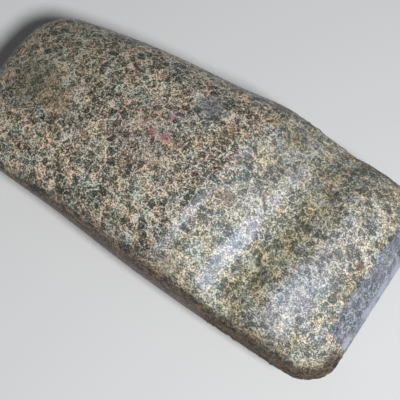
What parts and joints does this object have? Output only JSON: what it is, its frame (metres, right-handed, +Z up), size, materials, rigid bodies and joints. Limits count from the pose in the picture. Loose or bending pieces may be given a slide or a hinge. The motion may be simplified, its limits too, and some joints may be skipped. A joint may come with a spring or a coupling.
{
  "type": "grooved stone axe head",
  "caption": "Polished stone axe head with a tapered blade, a hafting groove round three sides, a plain back and a blunt squared poll.",
  "frame": {"origin": "under the middle of the axe head's box, on the surface that it lies on", "axes": "+X from the cutting edge to the poll, +Y towards the grooved edge, away from the plain back, +Z up through the thickness as it lies on one face"},
  "size_m": [0.1882, 0.0924, 0.0556],
  "materials": {
    "speckled_stone": "pecked and ground medium-grained granitic rock, polished on the blade and on the poll's end"
  },
  "bodies": {
    "root": {"axe_head": "speckled_stone"}
  },
  "joints": []
}
